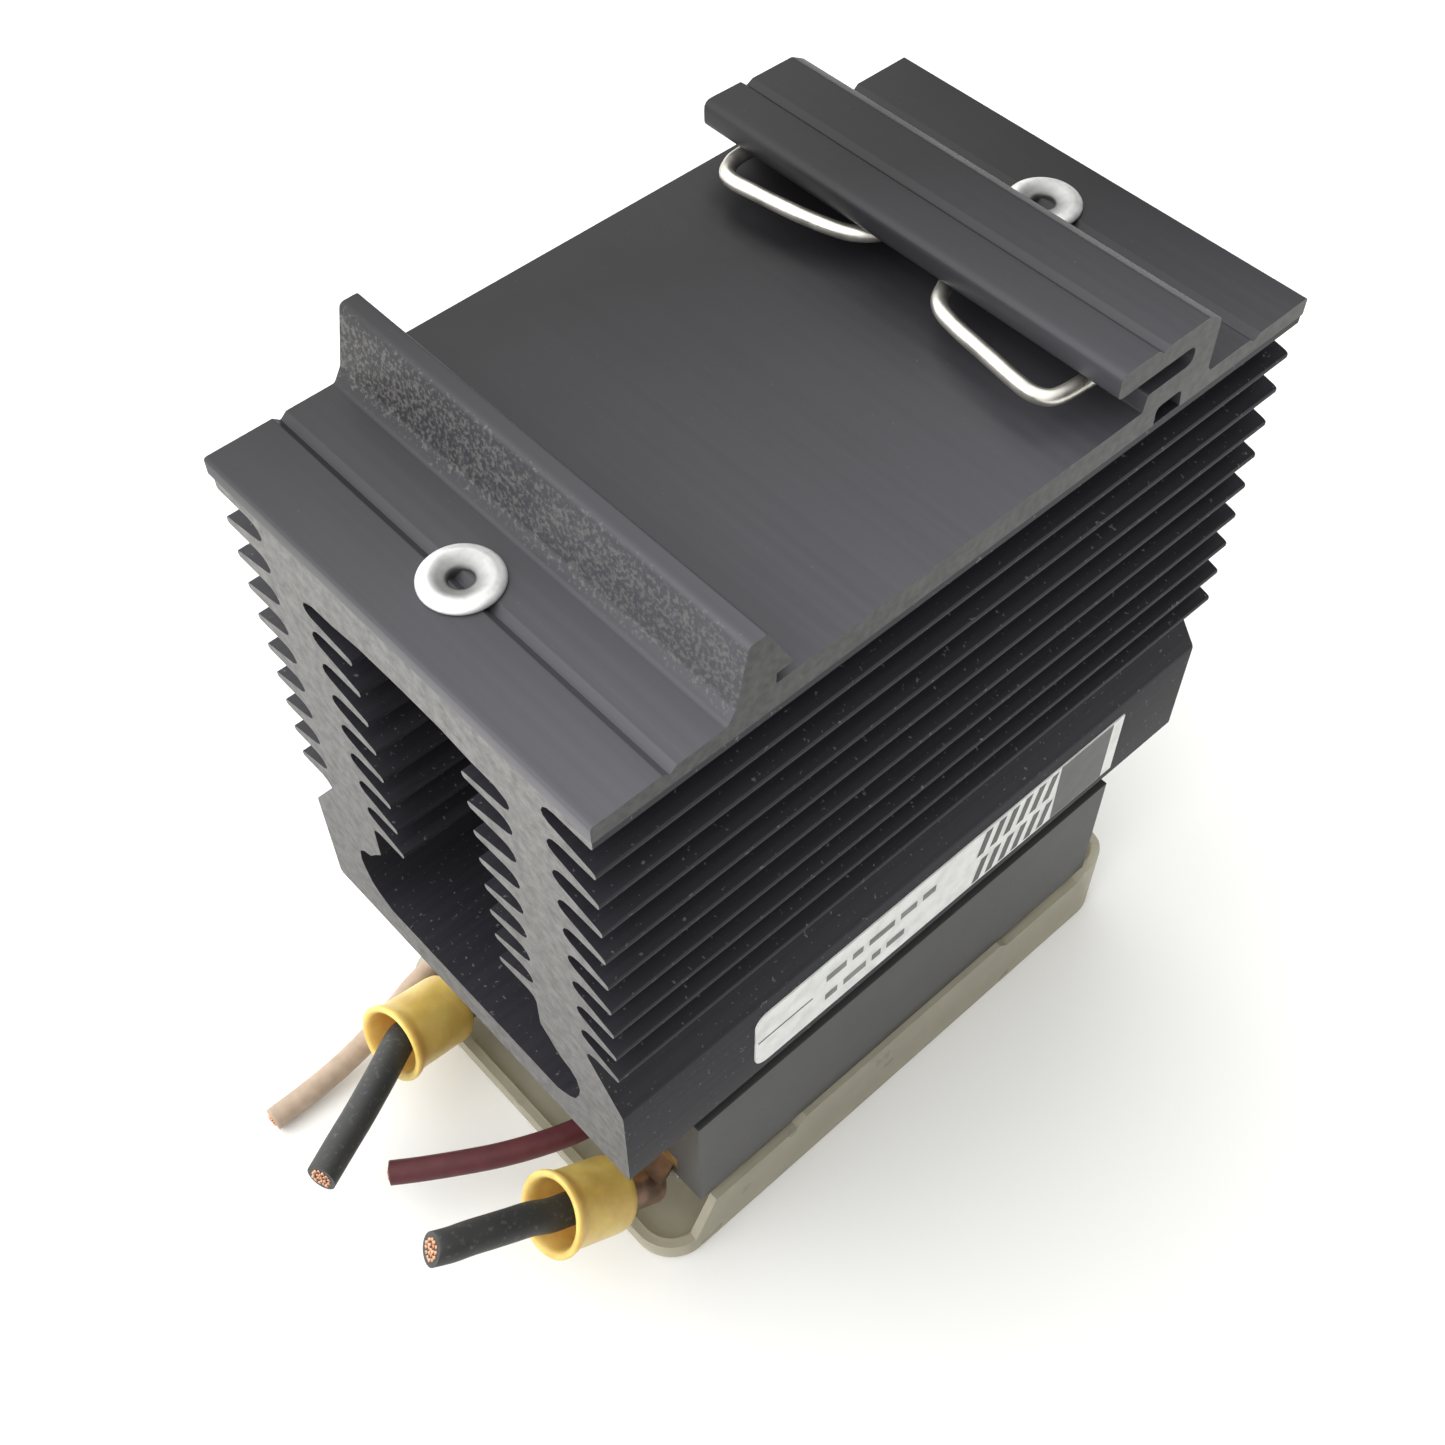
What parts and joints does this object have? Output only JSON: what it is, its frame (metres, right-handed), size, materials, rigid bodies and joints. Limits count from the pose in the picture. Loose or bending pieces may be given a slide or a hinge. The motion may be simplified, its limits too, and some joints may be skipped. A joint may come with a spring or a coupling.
{
  "type": "solid state relay",
  "caption": "Rail-mounted solid state relay on a finned black heat sink, with a clear terminal cover, screw terminals and wired leads.",
  "frame": {"origin": "centre of the terminal cover's flat face, the face the part stands on, in the middle of the heat sink's width and length", "axes": "+Z from the terminal cover up to the rail plate; X across the heat sink's width with the label on the +X side; the load wires leave towards -Y"},
  "size_m": [0.0462, 0.0953, 0.0941],
  "materials": {
    "black_aluminium": "black anodised, satin",
    "rivet_metal": "bright",
    "spring_steel": "nickel plated wire",
    "thermal_pad": "matt",
    "base_plate_metal": "plain",
    "housing_plastic": "dark grey, slightly satin",
    "plated_steel": "zinc plated",
    "ceramic": "white alumina",
    "silicon": "dark grey",
    "board": "green solder mask",
    "white_package": "white",
    "capacitor_coat": "dipped coating",
    "resistor_coat": "tan lacquer",
    "led_plastic": "clear red",
    "brass": "plain",
    "copper": "copper",
    "terminal_copper": "browned copper",
    "sleeve_yellow": "translucent yellow",
    "black_insulation": "glossy black",
    "red_insulation": "glossy crimson",
    "tan_insulation": "glossy pinkish tan",
    "label_paper": "printed white film",
    "clear_cover": "clear, slightly yellow"
  },
  "bodies": {
    "relay": {"heat_sink": "black_aluminium", "rail_plate": "black_aluminium", "rivets": "rivet_metal", "thermal_pad": "thermal_pad", "base_plate": "base_plate_metal", "relay_housing": "housing_plastic", "mounting_screws": "plated_steel", "mounting_washers": "plated_steel", "ceramic_substrate": "ceramic", "thyristor_chips": "silicon", "circuit_board": "board", "opto_coupler": "white_package", "gate_capacitor": "capacitor_coat", "gate_resistors": "resistor_coat", "status_led": "led_plastic", "load_terminals": "brass", "control_terminals": "brass", "load_leads": "copper", "control_leads": "copper", "ring_terminal_left": "terminal_copper", "ring_terminal_right": "terminal_copper", "fork_terminal_left": "copper", "fork_terminal_right": "copper", "sleeve_left": "sleeve_yellow", "sleeve_right": "sleeve_yellow", "black_wire_left": "black_insulation", "black_wire_right": "black_insulation", "red_wire": "red_insulation", "tan_wire": "tan_insulation", "copper_ends": "copper", "side_label": "label_paper"},
    "cover": {"terminal_cover": "clear_cover"},
    "spring": {"rail_spring": "spring_steel"},
    "load_left_screw_and_washer": {"load_screw_left": "plated_steel", "load_clamp_left": "plated_steel"},
    "load_right_screw_and_washer": {"load_screw_right": "plated_steel", "load_clamp_right": "plated_steel"},
    "control_left_screw_and_washer": {"control_screw_left": "plated_steel", "control_clamp_left": "plated_steel"},
    "control_right_screw_and_washer": {"control_screw_right": "plated_steel", "control_clamp_right": "plated_steel"}
  },
  "joints": [
    {"name": "cover_slide", "type": "slide", "parent": "relay", "child": "cover", "axis": [0, 0, -1], "range_m": [0, 0.025]},
    {"name": "spring_push", "type": "slide", "parent": "relay", "child": "spring", "axis": [0, 1, 0], "range_m": [0, 0.004], "stiffness_N_per_m": 3000},
    {"name": "load_screw_left_back_out", "type": "slide", "parent": "relay", "child": "load_left_screw_and_washer", "axis": [0, 0, -1], "range_m": [0, 0.0021]},
    {"name": "load_screw_right_back_out", "type": "slide", "parent": "relay", "child": "load_right_screw_and_washer", "axis": [0, 0, -1], "range_m": [0, 0.0021]},
    {"name": "control_screw_left_back_out", "type": "slide", "parent": "relay", "child": "control_left_screw_and_washer", "axis": [0, 0, -1], "range_m": [0, 0.0018]},
    {"name": "control_screw_right_back_out", "type": "slide", "parent": "relay", "child": "control_right_screw_and_washer", "axis": [0, 0, -1], "range_m": [0, 0.0018]}
  ]
}
